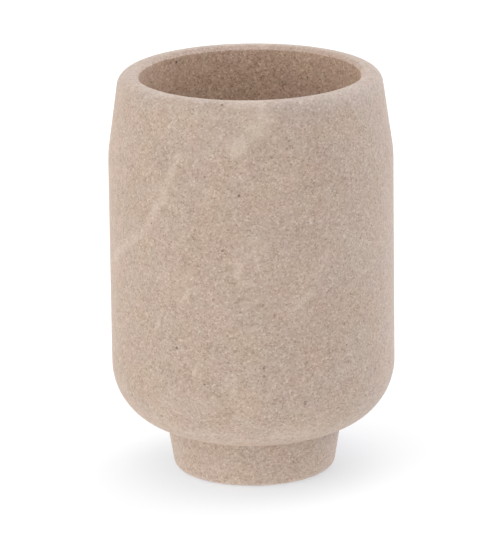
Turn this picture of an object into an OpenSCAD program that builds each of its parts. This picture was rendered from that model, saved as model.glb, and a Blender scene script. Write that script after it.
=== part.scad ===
// Footed bathroom tumbler turned from one block of sandstone.
// Millimetres, +Z up. The origin is the middle of the face that the tumbler stands on.

/* [Overall] */
// Height from the surface that the tumbler stands on to the rim
height = 114.8; // [100:0.2:150]
// Diameter of the bowl at its straight wall
bowl_d = 80; // [64:0.5:110]

/* [Foot] */
// Height at which the foot meets the bowl
foot_h = 13.1; // [8:0.1:20]
// Width of the ledge under the bowl, from the wall's line in to the foot
ledge_w = 15.3; // [13:0.1:20]
// How far the foot's side leans in on its way down from the bowl
foot_lean = 2.1; // [0:0.1:6]
// Rounding of the foot's lower edge
foot_edge_r = 2.5; // [0.3:0.1:3.5]
// Hollow fillet in the corner between the foot and the bowl
foot_fillet_r = 0.2; // [0.1:0.05:1.5]

/* [Bowl] */
// Rise of the bowl's underside, in degrees above level
underside_rise = 21.9; // [14:0.1:35]
// Radius of the turn from the underside up to the wall
belly_r = 18.5; // [12:0.5:22]
// Height of the band under the rim that leans inwards
lean_h = 22.6; // [14:0.2:34]
// How far the band leans in on its way up to the rim
lean_in = 3.2; // [1:0.1:8]
// Rounding of the shoulder, where the wall begins to lean inwards
shoulder_r = 30; // [5:1:60]
// Width of the rim before its edges are rounded
rim_w = 5.8; // [5:0.1:9]
// Rounding of the rim's outer edge
rim_outer_r = 3.6; // [0.5:0.1:4.2]
// Width of the slope inside the rim, from the cavity's wall out to the rim's top
rim_slope_w = 1.1; // [0.4:0.1:2]
// Drop of that slope from the rim's top to the cavity's wall
rim_slope_h = 1.2; // [0.5:0.1:2.5]
// Rounding between the rim's top and its slope
rim_inner_r = 0.9; // [0.3:0.1:1.8]
// Rounding between the slope and the cavity's wall
slope_edge_r = 0.3; // [0.1:0.1:1]

/* [Cavity] */
// Thickness of the cavity's floor above the level where the foot meets the bowl
floor_t = 7.6; // [5:0.1:20]
// Radius of the turn from the cavity's floor up to its wall
floor_corner_r = 10; // [3:0.5:16]

/* [Pad] */
// Width of the stone ring around the recess that holds the pad
ring_w = 4.1; // [3:0.1:8]
// Gap around the pad in its recess
pad_gap = 0.5; // [0.2:0.1:1]
// Thickness of the foam pad
pad_t = 1.5; // [1:0.1:3]
// How far the pad stands out below the stone
pad_proud = 0.2; // [0.1:0.05:0.8]
// Thickness of the adhesive film above the pad
film_t = 0.2; // [0.1:0.05:0.5]
// How far the film stays inside the pad's edge
film_inset = 0.5; // [0.2:0.1:2]

/* [Hidden] */
$fn = 180;
// Largest turn, in degrees, between two points of a rounded corner
arc_step = 4;

// Distances from the axis, each worked out from the one outside it
bowl_r = bowl_d / 2;
foot_top_r = bowl_r - ledge_w;
foot_base_r = foot_top_r - foot_lean;
recess_r = foot_base_r - ring_w;
pad_r = recess_r - pad_gap;
rim_r = bowl_r - lean_in;
bore_r = rim_r - rim_w;

// Heights
recess_top = pad_t + film_t;
belly_corner_z = foot_h + ledge_w * tan(underside_rise);
shoulder_z = height - lean_h;
floor_z = foot_h + floor_t;

// Corners of the stone's half section, from the recess outwards and round to the cavity.
// Each has its distance from the axis, its height and the radius that rounds it.
section = [
    [0, recess_top, 0],
    [recess_r, recess_top, 0],
    [recess_r, pad_proud, 0],
    [foot_base_r, pad_proud, foot_edge_r],
    [foot_top_r, foot_h, foot_fillet_r],
    [bowl_r, belly_corner_z, belly_r],
    [bowl_r, shoulder_z, shoulder_r],
    [rim_r, height, rim_outer_r],
    [bore_r + rim_slope_w, height, rim_inner_r],
    [bore_r, height - rim_slope_h, slope_edge_r],
    [bore_r, floor_z, floor_corner_r],
    [0, floor_z, 0]
];

function unit(v) = v / norm(v);
function place(corner) = [corner.x, corner.y];
function turned(v, angle) = [v.x * cos(angle) - v.y * sin(angle), v.x * sin(angle) + v.y * cos(angle)];

// Points of the arc of radius r that rounds a corner at b, between its neighbours a and c
function rounded_corner(a, b, c, r) =
    let (
        to_a = unit(a - b),
        to_c = unit(c - b),
        half = acos(to_a * to_c) / 2,
        centre = b + unit(to_a + to_c) * r / sin(half),
        start = b + to_a * r / tan(half) - centre,
        turn = sign(cross(to_c, to_a)) * (180 - 2 * half),
        steps = ceil(abs(turn) / arc_step)
    )
    [for (i = [0:steps]) centre + turned(start, turn * i / steps)];

// Outline through a list of corners, each rounded by its own radius
function rounded_outline(corners) = [
    for (i = [0:len(corners) - 1])
        let (corner = corners[i])
            each corner.z > 0
                ? rounded_corner(place(corners[i - 1]), place(corner), place(corners[i + 1]), corner.z)
                : [place(corner)]
];

// Bowl, foot, cavity and the recess under the foot, all turned from one block
module stone_body() {
    color([0.76, 0.68, 0.61])
        rotate_extrude()
            polygon(rounded_outline(section));
}

// Foam disc set in the recess, which keeps the stone off the surface
module base_pad() {
    color([0.82, 0.8, 0.76])
        cylinder(r = pad_r, h = pad_t);
}

// Double-sided film that holds the pad to the recess's ceiling
module pad_adhesive() {
    color([0.9, 0.88, 0.8])
        translate([0, 0, pad_t])
            cylinder(r = pad_r - film_inset, h = film_t);
}

stone_body();
base_pad();
pad_adhesive();
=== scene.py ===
import math
import random

import bmesh
import bpy
import numpy as np
from mathutils import Matrix, Vector, noise


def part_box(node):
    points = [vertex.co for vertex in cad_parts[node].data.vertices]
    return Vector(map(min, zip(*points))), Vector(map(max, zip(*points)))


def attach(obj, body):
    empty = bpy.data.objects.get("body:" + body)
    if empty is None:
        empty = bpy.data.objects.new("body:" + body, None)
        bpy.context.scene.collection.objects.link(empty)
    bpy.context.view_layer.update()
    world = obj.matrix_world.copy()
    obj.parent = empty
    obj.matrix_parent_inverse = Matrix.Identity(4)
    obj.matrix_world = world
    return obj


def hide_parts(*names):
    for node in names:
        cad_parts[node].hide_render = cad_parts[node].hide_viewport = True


# Footed sandstone tumbler on a foam pad. The frame is in metres, and sizes here are in millimetres.
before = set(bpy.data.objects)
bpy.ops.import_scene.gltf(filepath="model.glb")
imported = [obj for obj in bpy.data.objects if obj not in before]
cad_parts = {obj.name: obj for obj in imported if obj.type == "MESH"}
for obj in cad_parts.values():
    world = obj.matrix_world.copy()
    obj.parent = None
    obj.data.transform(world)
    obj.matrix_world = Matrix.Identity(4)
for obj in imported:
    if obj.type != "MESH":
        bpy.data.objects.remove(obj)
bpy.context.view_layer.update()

MM = 0.001
stone_low, stone_high = (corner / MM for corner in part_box("stone_body"))
pad_low, pad_high = (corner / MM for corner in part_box("base_pad"))
film_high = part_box("pad_adhesive")[1] / MM

# Stone: the sizes that the boxes don't give
BOWL_R = stone_high.x
BASE_Z = stone_low.z
HEIGHT = stone_high.z
LEDGE_W = 15.3
FOOT_H = 13.1
FOOT_LEAN = 2.1
FOOT_EDGE_R = 2.5
FOOT_FILLET_R = 0.2
RING_W = 4.1
UNDERSIDE_RISE = 21.9
BELLY_R = 18.5
LEAN_H = 22.6
LEAN_IN = 3.2
SHOULDER_R = 30
RIM_W = 5.8
RIM_OUTER_R = 3.6
SLOPE_W = 1.1
SLOPE_H = 1.2
RIM_INNER_R = 0.9
SLOPE_EDGE_R = 0.3
FLOOR_T = 7.6
FLOOR_CORNER_R = 10

FOOT_TOP_R = BOWL_R - LEDGE_W
FOOT_BASE_R = FOOT_TOP_R - FOOT_LEAN
RECESS_R = FOOT_BASE_R - RING_W
RIM_R = BOWL_R - LEAN_IN
BORE_R = RIM_R - RIM_W
RECESS_TOP = film_high.z
BELLY_CORNER_Z = FOOT_H + LEDGE_W * math.tan(math.radians(UNDERSIDE_RISE))
SHOULDER_Z = HEIGHT - LEAN_H
FLOOR_Z = FOOT_H + FLOOR_T

# Spacing of the rings of points along the section's straight runs
RECESS_TOP_STEP = 1.8
RECESS_WALL_STEP = 0.7
OUTSIDE_STEP = 0.8
RIM_STEP = 0.6
SLOPE_STEP = 0.5
CAVITY_STEP = 1.1

# Corners of the half section: distance from the axis, height, rounding, and the spacing of the
# rings on the run that leads to the next corner
SECTION = [
    (0, RECESS_TOP, 0, RECESS_TOP_STEP),
    (RECESS_R, RECESS_TOP, 0, RECESS_WALL_STEP),
    (RECESS_R, BASE_Z, 0, OUTSIDE_STEP),
    (FOOT_BASE_R, BASE_Z, FOOT_EDGE_R, OUTSIDE_STEP),
    (FOOT_TOP_R, FOOT_H, FOOT_FILLET_R, OUTSIDE_STEP),
    (BOWL_R, BELLY_CORNER_Z, BELLY_R, OUTSIDE_STEP),
    (BOWL_R, SHOULDER_Z, SHOULDER_R, OUTSIDE_STEP),
    (RIM_R, HEIGHT, RIM_OUTER_R, RIM_STEP),
    (BORE_R + SLOPE_W, HEIGHT, RIM_INNER_R, SLOPE_STEP),
    (BORE_R, HEIGHT - SLOPE_H, SLOPE_EDGE_R, CAVITY_STEP),
    (BORE_R, FLOOR_Z, FLOOR_CORNER_R, CAVITY_STEP),
    (0, FLOOR_Z, 0, 0),
]

# Rings on an arc are this far apart, or this share of the arc's radius if that is more
ARC_STEP = 0.45
ARC_STEP_SHARE = 0.045
LEAST_ARC_STEPS = 4


def unit(v):
    return v / np.linalg.norm(v)


def rounded_corner(before, corner, after, radius):
    """Points of the arc that rounds a corner of the section."""
    to_before = unit(before - corner)
    to_after = unit(after - corner)
    half = math.acos(to_before @ to_after) / 2
    centre = corner + unit(to_before + to_after) * radius / math.sin(half)
    start = corner + to_before * radius / math.tan(half) - centre
    side = to_after[0] * to_before[1] - to_after[1] * to_before[0]
    sweep = math.copysign(math.pi - 2 * half, side)
    step = max(ARC_STEP, radius * ARC_STEP_SHARE)
    steps = max(LEAST_ARC_STEPS, math.ceil(abs(sweep) * radius / step))
    turns = [sweep * i / steps for i in range(steps + 1)]
    return [centre + (start[0] * math.cos(t) - start[1] * math.sin(t),
                      start[0] * math.sin(t) + start[1] * math.cos(t)) for t in turns]


def section_points(corners):
    """The rounded section as points, close enough together for the stone's unevenness to show."""
    places = [np.array(corner[:2], float) for corner in corners]
    points = []
    for i, (_, _, rounding, _) in enumerate(corners):
        if rounding > 0:
            arc = rounded_corner(places[i - 1], places[i], places[i + 1], rounding)
        else:
            arc = [places[i]]
        if points:
            run = arc[0] - points[-1]
            pieces = max(1, math.ceil(np.linalg.norm(run) / corners[i - 1][3]))
            points += [points[-1] + run * k / pieces for k in range(1, pieces)]
        points += arc
    return np.array(points)


STONE_POINTS = section_points(SECTION)


def outside_radius(height):
    """Distance of the stone's outside from the axis at a height above the foot's rounded edge."""
    rim_top = int(STONE_POINTS[:, 1].argmax())
    outside = STONE_POINTS[:rim_top + 1]
    outside = outside[outside[:, 1] > FOOT_H / 2]
    return np.interp(height, outside[:, 1], outside[:, 0])


def turn_on_lathe(name, points, sides):
    """Mesh turned from a half section that starts and ends on the axis."""
    rings = points[1:-1]
    turns = np.arange(sides) * 2 * math.pi / sides
    ring_points = np.empty((len(rings), sides, 3))
    ring_points[:, :, 0] = rings[:, None, 0] * np.cos(turns)
    ring_points[:, :, 1] = rings[:, None, 0] * np.sin(turns)
    ring_points[:, :, 2] = rings[:, None, 1]
    vertices = [(0, 0, points[0][1])] + ring_points.reshape(-1, 3).tolist() + [(0, 0, points[-1][1])]
    faces = []
    for j in range(sides):
        following = (j + 1) % sides
        faces.append((0, 1 + following, 1 + j))
        for i in range(len(rings) - 1):
            here = 1 + i * sides
            above = here + sides
            faces.append((here + j, here + following, above + following, above + j))
        last = 1 + (len(rings) - 1) * sides
        faces.append((last + j, last + following, len(vertices) - 1))
    mesh = bpy.data.meshes.new(name)
    mesh.from_pydata(vertices, [], faces)
    mesh.update()
    return mesh


def add_piece(name, mesh, material, node):
    """Puts a mesh that is in millimetres in the frame, in place of a CAD node."""
    mesh.transform(Matrix.Scale(MM, 4))
    mesh.shade_smooth()
    mesh.materials.append(material)
    piece = bpy.data.objects.new(name, mesh)
    bpy.context.scene.collection.objects.link(piece)
    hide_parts(node)
    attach(piece, "root")
    return piece


# Materials

class Wire:
    """An output socket of a shader's nodes. Maths on wires adds the nodes that work it out."""

    def __init__(self, socket):
        self.socket = socket
        self.tree = socket.id_data

    def node(self, kind, settings=None, inputs=None, out=0):
        """Adds a node, applies its settings, fills its sockets and gives one of its outputs."""
        made = self.tree.nodes.new(kind)
        for name, value in (settings or {}).items():
            if name == "stops":
                while len(made.color_ramp.elements) < len(value):
                    made.color_ramp.elements.new(1)
                for element, (position, colour) in zip(made.color_ramp.elements, value):
                    element.position = position
                    element.color = (*colour, 1)
            else:
                setattr(made, name, value)
        for name, value in (inputs or {}).items():
            if isinstance(value, Wire):
                self.tree.links.new(value.socket, made.inputs[name])
            else:
                made.inputs[name].default_value = value
        return Wire(made.outputs[out]) if made.outputs else None

    def worked_out(self, operation, first, second):
        """Math where both sides are values, and Vector Math where one is a colour or a vector."""
        if not any(isinstance(w, Wire) and w.socket.type != "VALUE" for w in (first, second)):
            return self.node("ShaderNodeMath", {"operation": operation}, {0: first, 1: second})
        if operation == "MULTIPLY" and isinstance(second, (int, float)):
            return self.node("ShaderNodeVectorMath", {"operation": "SCALE"}, {0: first, "Scale": second})
        return self.node("ShaderNodeVectorMath", {"operation": operation}, {0: first, 1: second})

    def __add__(self, other):
        return self.worked_out("ADD", self, other)

    def __radd__(self, other):
        return self.worked_out("ADD", other, self)

    def __sub__(self, other):
        return self.worked_out("SUBTRACT", self, other)

    def __rsub__(self, other):
        return self.worked_out("SUBTRACT", other, self)

    def __mul__(self, other):
        return self.worked_out("MULTIPLY", self, other)

    def __rmul__(self, other):
        return self * other

    def measured(self, operation, other=(0, 0, 0)):
        """The value that Vector Math gives for this vector, or for this and another."""
        return self.node("ShaderNodeVectorMath", {"operation": operation}, {0: self, 1: other}, "Value")

    def dot(self, vector):
        return self.measured("DOT_PRODUCT", vector)

    def size(self):
        return self.node("ShaderNodeMath", {"operation": "ABSOLUTE"}, {0: self})

    def upward(self):
        """The vertical part of a place or a direction."""
        return self.node("ShaderNodeSeparateXYZ", None, {0: self}, "Z")


def emptied(owner):
    """The node tree of a material or of the world, with nothing in it."""
    owner.use_nodes = True
    owner.node_tree.nodes.clear()
    return owner.node_tree


def coordinates(tree, kind):
    """Wire of one kind of texture coordinates."""
    return Wire(tree.nodes.new("ShaderNodeTexCoord").outputs[kind])


def new_material(name):
    """An empty material and the wire of its object coordinates, in millimetres."""
    material = bpy.data.materials.new(name)
    return material, coordinates(emptied(material), "Object") * (1 / MM)


def finish_surface(place, settings):
    """Ends a material in a Principled shader with these sockets."""
    surface = place.node("ShaderNodeBsdfPrincipled", None, settings)
    surface.node("ShaderNodeOutputMaterial", None, {"Surface": surface})


def noise_at(place, size, detail=2, offset=(0, 0, 0)):
    """Smooth noise, about 0.5 on average, whose lumps are about this wide in millimetres."""
    sockets = {"Vector": place + offset, "Scale": 1 / size, "Detail": detail}
    return place.node("ShaderNodeTexNoise", None, sockets)


def grains_at(place, size, out="Color"):
    """Cells of about this width: a random colour for each, or the distance to its middle."""
    return place.node("ShaderNodeTexVoronoi", None, {"Vector": place, "Scale": 1 / size}, out)


def draw_of(colour):
    """One random number for each grain, from its random colour."""
    return colour.node("ShaderNodeSeparateColor", None, {"Color": colour})


def fade(value, low, high):
    """0 at low and 1 at high, with soft ends."""
    return value.node("ShaderNodeMapRange", {"interpolation_type": "SMOOTHSTEP"},
                      {"Value": value, "From Min": low, "From Max": high})


def tint(share, colour, other):
    """The first colour, turned into the other by this share."""
    wire = next(w for w in (share, colour, other) if isinstance(w, Wire))
    return wire.node("ShaderNodeMix", {"data_type": "RGBA"}, {0: share, 6: colour, 7: other}, 2)


def bumps(height, strength, depth):
    """Normals of a surface that goes up and down by this depth in millimetres."""
    sockets = {"Height": height, "Strength": strength, "Distance": depth * MM}
    return height.node("ShaderNodeBump", None, sockets)


def towards(azimuth, elevation):
    """Unit vector of a direction. The azimuth is 0 at the front and rises to the right."""
    turn = math.radians(azimuth)
    rise = math.radians(elevation)
    return (math.sin(turn) * math.cos(rise), -math.cos(turn) * math.cos(rise), math.sin(rise))


def on_wall(azimuth, height, radius):
    """A place on the stone, by its azimuth, its height and its distance from the axis."""
    turn = math.radians(azimuth)
    return Vector((radius * math.sin(turn), -radius * math.cos(turn), height))


# Colours of the stone, from its darkest grains to its palest
STONE_TONES = [
    (0.0, (0.191, 0.120, 0.083)),
    (0.22, (0.350, 0.246, 0.184)),
    (0.5, (0.499, 0.382, 0.313)),
    (0.78, (0.644, 0.530, 0.455)),
    (1.0, (0.757, 0.683, 0.627)),
]
# Paler, greyer colour painted on the rim as the reflection of the pale room at a grazing angle
PAINTED_RIM_REFLECTION = (0.6, 0.62, 0.62, 1)
PALE_STONE = (0.78, 0.68, 0.6, 1)
# Dark mineral, also used as the painted shade in the bottoms of the pores
DARK_MINERAL_AND_PORE_SHADE = (0.16, 0.105, 0.075, 1)

# Colours that the stone's own colour is multiplied by
UNCHANGED = (1, 1, 1, 1)
BLUER_BED = (0.993, 1.0, 1.014, 1)
YELLOWER_BED = (1.008, 1.0, 0.978, 1)
GREENER_BED = (0.995, 1.006, 0.996, 1)
PINKER_BED = (1.006, 0.992, 1.0, 1)
# Painted warmth inside the cavity, for the light that bounces round in it
CAVITY_WARM_BOUNCE = (1.1, 1.04, 0.97, 1)
# Painted highlight on the slope inside the rim, for the light that it catches
PAINTED_SLOPE_HIGHLIGHT = (1.12, 1.08, 1.07, 1)

# Widths of the stone's grains, of its softer clouds and beds, and of the spaces between specks
FINE_GRAIN = 0.42
COARSE_GRAIN = 0.85
CLOUD = 3
BED = 22
SPECK_SPACE = 2.2

# The grains' outlines wander by this much, with noise of this scale
GRAIN_DRIFT = 0.35
DRIFT_SCALE = 2.4

# How much the grains, the clouds and the beds change the stone's tone. The strong ones are the few
# fine grains that stand out.
FINE_SHARE = 0.1
STRONG_SHARE = 0.36
COARSE_SHARE = 0.11
CLOUD_SHARE = 0.19
BED_SHARE = 0.14

# How far specks turn into dark mineral, the bottoms of pores into painted shade, and the rim into its
# painted reflection
SPECK_SHARE = 0.35
PORE_SHADE_SHARE = 0.45
RIM_REFLECTION_SHARE = 0.09

# Pale streaks that run through the stone: azimuth and height of both ends as they show on the
# front, half width in millimetres, and strength
STREAKS = [
    ((-75.8, 63.8), (-46.4, 77.3), 1.4, 0.75),
    ((-46.4, 77.3), (-35.4, 90.9), 1.2, 0.8),
    ((-35.4, 90.9), (-30, 100.6), 1.1, 0.65),
    ((-9.3, 101.5), (8, 112.5), 2.8, 0.85),
    ((-16.7, 100.5), (-11.5, 108), 0.8, 0.6),
    ((31, 82.8), (31.5, 72.8), 0.5, 0.8),
    ((31.5, 72.8), (24.5, 61.8), 0.7, 0.5),
    ((24.5, 61.8), (14.8, 55.1), 0.9, 0.6),
    ((23.5, 82.1), (24.4, 80.6), 0.6, 1.0),
    ((-38.2, 55.4), (-41.8, 49.2), 0.7, 0.8),
    ((-25.5, 61.6), (-30.1, 58), 0.7, 0.8),
    ((-21.7, 41.7), (-24.8, 37.5), 0.7, 0.8),
    ((-33.1, 33.2), (-34.1, 30.7), 0.6, 0.7),
    ((-4.8, 71), (-6.2, 65.9), 1.2, 0.8),
    ((1.9, 72.2), (1.7, 67.9), 0.9, 0.7),
    ((-6.7, 38.3), (-8.3, 32.5), 0.8, 0.7),
    ((-9, 114.2), (9, 114.4), 1.1, 0.5),
    ((8, 19.6), (26, 19.1), 1.8, 0.5),
    ((-40, 28.6), (-17, 28.8), 3.2, 0.45),
    ((-8, 74.4), (7, 74.6), 5, 0.3),
]
# How far a streak of strength 1 turns into pale stone
STREAK_SHARE = 0.36

# Dark grains that show from the front, by azimuth, height and strength, and the place of one
# inside the mouth
DARK_GRAINS = [
    (-4.9, 89.8, 0.84), (-32, 44.9, 0.84), (-12.5, 114.2, 0.7), (4.1, 40.5, 0.59),
    (-11.7, 74.1, 0.63), (8.3, 100.1, 0.53), (4.1, 58.6, 0.48), (4.1, 38.2, 0.48),
    (20.8, 29.2, 0.48), (-4.9, 56.6, 0.42), (39.1, 50.3, 0.48), (20.9, 29.8, 0.42),
    (14.8, 102.2, 0.39), (33.7, 89, 0.42), (16.8, 47.6, 0.42), (14.9, 105.1, 0.39),
    (46.6, 90.5, 0.31), (25.3, 92.1, 0.35),
]
INNER_GRAIN = (-138.1, 112.2)
# Distances from a dark grain's middle at which it begins to fade and is gone
GRAIN_FADE = (0.24, 0.56)

GRAIN_PLACES = [(on_wall(azimuth, height, outside_radius(height)), strength)
                for azimuth, height, strength in DARK_GRAINS]
GRAIN_PLACES.append((on_wall(*INNER_GRAIN, BORE_R), 1))


def streak(place, bend, start, end, half_width, strength):
    """Share of pale stone along one line between two places on the wall."""
    first = on_wall(*start, BOWL_R)
    second = on_wall(*end, BOWL_R)
    along = (second - first).normalized()
    middle = (first + second) / 2
    across = along.cross(Vector((middle.x, middle.y, 0)).normalized()).normalized()
    off = (place.dot(across) - middle.dot(across) + bend).size()
    run = (place.dot(along) - middle.dot(along)).size()
    half_run = (second - first).length / 2
    return ((1 - fade(off, half_width * 0.3, half_width * 1.5))
            * (1 - fade(run, half_run * 0.8, half_run * 1.15)) * strength)


def pale_streaks(place):
    """Share of pale stone in all the streaks, whose lines waver and whose strength is patchy."""
    bend = (noise_at(place, 9, 2, (7, 1, 5)) - 0.5) * 1.5 + (noise_at(place, 1.6, 1) - 0.5) * 0.8
    patchy = fade(noise_at(place, 4, 2, (3, 8, 1)), 0.35, 0.6)
    return sum(streak(place, bend, *row) for row in STREAKS) * (0.45 + patchy * 0.55)


def dark_marks(place):
    """Share of dark colour: dark mineral in random specks and the placed grains, and painted shade in
    the bottoms of the open pores.
    """
    speck = ((1 - fade(grains_at(place, SPECK_SPACE, "Distance"), 0.05, 0.13))
             * fade(draw_of(grains_at(place, SPECK_SPACE)), 0.6, 0.8))
    pore = place.node("ShaderNodeAttribute", {"attribute_name": "pore"}, None, "Fac")
    # The bottoms of the open pores are painted dark: painted shade in the pits
    dark = speck * SPECK_SHARE + pore * PORE_SHADE_SHARE
    for middle, strength in GRAIN_PLACES:
        dark = dark + (1 - fade(place.measured("DISTANCE", middle), *GRAIN_FADE)) * strength
    return dark


def sandstone():
    material, place = new_material("honed_sandstone")
    drift_sockets = {"Vector": place, "Scale": DRIFT_SCALE, "Detail": 1}
    drift = place.node("ShaderNodeTexNoise", None, drift_sockets, "Color")
    grain_place = place + (drift - (0.5, 0.5, 0.5)) * GRAIN_DRIFT
    fine = draw_of(grains_at(grain_place, FINE_GRAIN))
    coarse = draw_of(grains_at(grain_place, COARSE_GRAIN))
    cloudy = noise_at(place, CLOUD, 3)
    broad = noise_at(place, BED, 3, (40, 3, 9))

    # Inside the cavity the stone shows its grain more, and it is painted a little warmer there, for the
    # warm light that bounces round inside it
    from_axis = (place * (1, 1, 0)).measured("LENGTH")
    upright = place.upward()
    in_cavity = (1 - fade(from_axis, BORE_R, BORE_R + 0.3)) * fade(upright, FLOOR_Z - 2, FLOOR_Z - 1)

    # A few grains stand out and most are alike
    grain = fine - 0.5
    strong = grain * grain * grain * 4
    unlike = (grain * FINE_SHARE + strong * STRONG_SHARE + (coarse - 0.5) * COARSE_SHARE
              + (cloudy - 0.5) * CLOUD_SHARE + (broad - 0.5) * BED_SHARE)
    tone = 0.5 + unlike * (1 + in_cavity * 0.3)
    colour = tone.node("ShaderNodeValToRGB", {"stops": STONE_TONES}, {"Fac": tone})

    # Some beds are a little yellower than others, and some a little pinker
    yellower = fade(noise_at(place, 10, 2, (11, 4, 2)), 0.38, 0.62)
    pinker = fade(noise_at(place, 7, 1, (3, 9, 6)), 0.38, 0.62)
    colour = colour * tint(yellower, BLUER_BED, YELLOWER_BED)
    colour = colour * tint(pinker, GREENER_BED, PINKER_BED)
    # Painted warmth of the light that bounces round inside the cavity
    colour = colour * tint(in_cavity, UNCHANGED, CAVITY_WARM_BOUNCE)

    # The rim is painted a little paler and greyer, as the reflection of the pale room at a grazing
    # angle, and its slope gets a painted highlight
    near_rim = fade(upright, HEIGHT - 7, HEIGHT - 1.5) * (1 - in_cavity)
    slope_edge = BORE_R + SLOPE_W
    slope = near_rim * (1 - fade(from_axis, slope_edge - 0.3, slope_edge + 0.3))
    colour = tint(near_rim * RIM_REFLECTION_SHARE, colour, PAINTED_RIM_REFLECTION)
    # Painted highlight on the slope, for the light that it catches
    colour = colour * tint(slope, UNCHANGED, PAINTED_SLOPE_HIGHLIGHT)

    colour = tint(pale_streaks(place) * (1 - in_cavity) * STREAK_SHARE, colour, PALE_STONE)
    colour = tint(dark_marks(place), colour, DARK_MINERAL_AND_PORE_SHADE)
    height = fine * 0.5 + cloudy * 0.5 - grains_at(grain_place, FINE_GRAIN, "Distance")
    finish_surface(place, {
        "Base Color": colour,
        "Roughness": 0.55 + (fine - 0.5) * 0.12,
        "Diffuse Roughness": 0.8,
        "Normal": bumps(height, 0.5, 0.03),
        "IOR": 1.5,
    })
    return material


FOAM_CELL = 0.35
FOAM_GREYS = ((0.58, 0.55, 0.5, 1), (0.66, 0.63, 0.58, 1))
CELL_SHADE = (0.42, 0.4, 0.37, 1)
FILM_YELLOWS = ((0.78, 0.74, 0.6, 1), (0.84, 0.8, 0.66, 1))


def pad_foam():
    material, place = new_material("closed_cell_foam")
    cells = grains_at(place, FOAM_CELL, "Distance")
    colour = tint(noise_at(place, 4, 3), *FOAM_GREYS)
    colour = tint((1 - fade(cells, 0.05, 0.5)) * 0.3, colour, CELL_SHADE)
    finish_surface(place, {"Base Color": colour, "Roughness": 0.9, "Normal": bumps(cells, 0.6, 0.05)})
    return material


def adhesive_film():
    material, place = new_material("adhesive_film")
    colour = tint(noise_at(place, 1.2, 3), *FILM_YELLOWS)
    finish_surface(place, {"Base Color": colour, "Roughness": 0.45})
    return material


# Stone

STONE_SIDES = 300
# How far honing cuts into the true shape: at least this much, and in broad and fine waves
LEAST_CUT = 0.016
BROAD_CUT = 0.024
BROAD_WAVE = 17
FINE_CUT = 0.016
FINE_WAVE = 3.4

PORES = 110
PORE_SEED = 5
PORE_RADII = (0.1, 0.17)
# Stone left between a pore and the edges of the face that it is sunk in
PORE_MARGIN = 0.05
# Width of a pore's sloping wall, as a share of its radius
PORE_WALL = 0.35


def cut_depth(place, radius):
    """How far the honed surface lies inside the true one at a place on the stone."""
    in_the_recess = place.z < RECESS_TOP + 0.01 and radius < RECESS_R + 0.01
    if in_the_recess:
        return 0
    broad = 0.5 + 0.5 * noise.noise(place / BROAD_WAVE)
    fine = 0.5 + 0.5 * noise.noise(place / FINE_WAVE + Vector((5, 2, 8)))
    return LEAST_CUT + BROAD_CUT * broad + FINE_CUT * fine


def open_pores(mesh):
    """Sinks small open pores in the faces of the stone, and marks their bottoms for the painted shade
    that the material puts there.
    """
    shape = bmesh.new()
    shape.from_mesh(mesh)
    mark = shape.verts.layers.float.new("pore")
    draw = random.Random(PORE_SEED)
    faces = [face for face in shape.faces if len(face.verts) == 4]
    centres = np.array([face.calc_center_median() for face in faces])
    from_axis = np.hypot(centres[:, 0], centres[:, 1])
    in_the_open = (centres[:, 2] > BASE_Z + 0.5) & (from_axis > RECESS_R)
    for index in draw.sample(np.flatnonzero(in_the_open).tolist(), PORES):
        face = faces[index]
        depth = draw.uniform(*PORE_RADII)
        reach = min(edge.calc_length() for edge in face.edges) / 2
        radius = min(depth, reach - PORE_MARGIN)
        bmesh.ops.inset_individual(shape, faces=[face], thickness=reach - radius)
        bmesh.ops.inset_individual(shape, faces=[face], thickness=radius * PORE_WALL, depth=-depth)
        for vertex in face.verts:
            vertex[mark] = 1
    shape.to_mesh(mesh)
    shape.free()


def stone_mesh():
    mesh = turn_on_lathe("tumbler_stone", STONE_POINTS, STONE_SIDES)
    normals = [vertex.normal.copy() for vertex in mesh.vertices]
    for vertex, normal in zip(mesh.vertices, normals):
        radius = math.hypot(vertex.co.x, vertex.co.y)
        vertex.co -= normal * cut_depth(vertex.co.copy(), radius)
    open_pores(mesh)
    return mesh


add_piece("tumbler_stone", stone_mesh(), sandstone(), "stone_body")

# Pad: a hair narrower than its solid, so that it stays inside it

PAD_SIDES = 180
PAD_R = pad_high.x - 0.04
PAD_EDGE_R = 0.35
PAD_FACE_STEP = 1.2
PAD_SIDE_STEP = 0.5
PAD_SECTION = [
    (0, pad_low.z, 0, PAD_FACE_STEP),
    (PAD_R, pad_low.z, PAD_EDGE_R, PAD_SIDE_STEP),
    (PAD_R, pad_high.z, PAD_EDGE_R, PAD_FACE_STEP),
    (0, pad_high.z, 0, 0),
]
pad_mesh = turn_on_lathe("foam_pad", section_points(PAD_SECTION), PAD_SIDES)
pad = add_piece("foam_pad", pad_mesh, pad_foam(), "base_pad")

# Film above the pad, which keeps its solid
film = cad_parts["pad_adhesive"]
film.data.materials.clear()
film.data.materials.append(adhesive_film())

# Camera: its tilt, its turn about its own axis and the place that it looks at
CAMERA_AIM = Vector((-0.628, 0.137, 58.155)) * MM
CAMERA_DISTANCE = 1500 * MM
CAMERA_TILT = math.radians(15.95)
CAMERA_ROLL = math.radians(-0.731)
SENSOR = 36
PICTURE_H = 534
FOCAL_PIXELS = 5322

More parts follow.
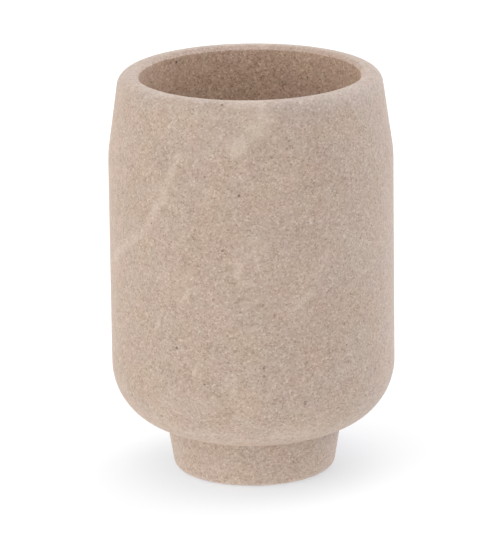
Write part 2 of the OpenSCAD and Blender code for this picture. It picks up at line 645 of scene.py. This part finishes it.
ahead = Vector((0, math.cos(CAMERA_TILT), -math.sin(CAMERA_TILT)))
level_up = Vector((0, math.sin(CAMERA_TILT), math.cos(CAMERA_TILT)))
right = math.cos(CAMERA_ROLL) * Vector((1, 0, 0)) + math.sin(CAMERA_ROLL) * level_up
up = right.cross(ahead)
turned = Matrix((right, up, -ahead)).transposed().to_4x4()
camera = bpy.data.objects.new("camera", bpy.data.cameras.new("camera"))
bpy.context.scene.collection.objects.link(camera)
camera.matrix_world = Matrix.Translation(CAMERA_AIM - ahead * CAMERA_DISTANCE) @ turned
camera.data.sensor_width = SENSOR
camera.data.lens = FOCAL_PIXELS / PICTURE_H * SENSOR
camera.data.clip_start = 0.01
camera.data.clip_end = 100
bpy.context.scene.camera = camera

# Floor. Its normals lean to the front left, which spreads the shadow evenly round the foot, and
# what it shows is its shaded colour plus a glow. Where nothing shades it, that is more than white.
FLOOR_R = 6000 * MM
FLOOR_SIDES = 96
FLOOR_NORMAL = towards(-65, 72.5)
FLOOR_PLAIN = (0.8, 0.8, 0.8, 1)
FLOOR_SHADE = (0.8, 0.7, 0.635, 1)
FLOOR_GLOW = (0.19, 0.31, 0.39, 1)


def seen_directly(tree):
    """1 for rays from the camera and for what gloss and glass show of the background."""
    path = tree.nodes.new("ShaderNodeLightPath")
    camera_ray = Wire(path.outputs["Is Camera Ray"])
    glossy = Wire(path.outputs["Is Glossy Ray"])
    through = Wire(path.outputs["Is Transmission Ray"])
    any_ray = camera_ray + glossy + through
    return any_ray.node("ShaderNodeClamp", None, {"Value": any_ray})


def pale_floor():
    material = bpy.data.materials.new("pale_floor")
    seen = seen_directly(emptied(material))
    plain = seen.node("ShaderNodeBsdfDiffuse", None, {"Color": FLOOR_PLAIN})
    shaded = seen.node("ShaderNodeBsdfDiffuse", None, {"Color": FLOOR_SHADE})
    glowing = seen.node("ShaderNodeEmission", None, {"Color": FLOOR_GLOW, "Strength": 1})
    shown = seen.node("ShaderNodeAddShader", None, {0: shaded, 1: glowing})
    mixed = seen.node("ShaderNodeMixShader", None, {0: seen, 1: plain, 2: shown})
    mixed.node("ShaderNodeOutputMaterial", None, {"Surface": mixed})
    return material


floor_mesh = bpy.data.meshes.new("studio_floor")
floor_shape = bmesh.new()
bmesh.ops.create_circle(floor_shape, cap_ends=True, radius=FLOOR_R, segments=FLOOR_SIDES)
floor_shape.to_mesh(floor_mesh)
floor_shape.free()
floor_mesh.shade_smooth()
floor_mesh.normals_split_custom_set([FLOOR_NORMAL] * len(floor_mesh.loops))
floor_mesh.materials.append(pale_floor())
floor = bpy.data.objects.new("studio_floor", floor_mesh)
bpy.context.scene.collection.objects.link(floor)
# The room lights the tumbler from below too, as the glass of a light table does
floor.visible_diffuse = False
floor.visible_shadow = False

# Light: a room that is pale all round, with four soft patches of light
FROM_ABOVE = 0.937
FROM_BELOW = 1.107
FROM_THE_SIDES = 0.4
# Sines of the slopes between which light from the sides turns into light from above or below
STEEPNESS = (0.3, 0.7)
# Azimuth, elevation and colour of each patch
PATCHES = [
    (-60, 0, (1.89, 1.84, 1.69)),
    (30, 0, (0.79, 0.86, 0.87)),
    (120, 0, (0.6, 0.62, 0.74)),
    (135, 40, (1.82, 1.84, 1.95)),
]
# How fast a patch gets weaker away from its middle. At 6 it is down to half at 28 degrees.
PATCH_FALL = 6
WHITE = (1, 1, 1, 1)


def glow(level, colour):
    """Light of a colour, at a level that changes with the direction."""
    return level.node("ShaderNodeVectorMath", {"operation": "SCALE"}, {0: colour, "Scale": level})


def soft_patch(direction, azimuth, elevation, colour):
    """Light that is strongest from one direction."""
    facing = (direction.dot(towards(azimuth, elevation)) - 1) * PATCH_FALL
    return glow(facing.node("ShaderNodeMath", {"operation": "EXPONENT"}, {0: facing}), colour)


def room_light(direction):
    """Colour of the light that comes from each direction."""
    above = fade(direction.upward(), *STEEPNESS)
    below = fade(0 - direction.upward(), *STEEPNESS)
    level = above * FROM_ABOVE + below * FROM_BELOW + (1 - above - below) * FROM_THE_SIDES
    patches = [soft_patch(direction, *patch) for patch in PATCHES]
    return sum(patches, start=glow(level, (1, 1, 1)))


world = bpy.data.worlds.new("studio")
bpy.context.scene.world = world
world_tree = emptied(world)
seen = seen_directly(world_tree)
room = room_light(coordinates(world_tree, "Generated"))
lit = seen.node("ShaderNodeBackground", None, {"Color": room})
shown = seen.node("ShaderNodeBackground", None, {"Color": WHITE, "Strength": 1})
backdrop = seen.node("ShaderNodeMixShader", None, {0: seen, 1: lit, 2: shown})
backdrop.node("ShaderNodeOutputWorld", None, {"Surface": backdrop})

bpy.context.scene.view_settings.view_transform = "Standard"

bpy.context.view_layer.update()
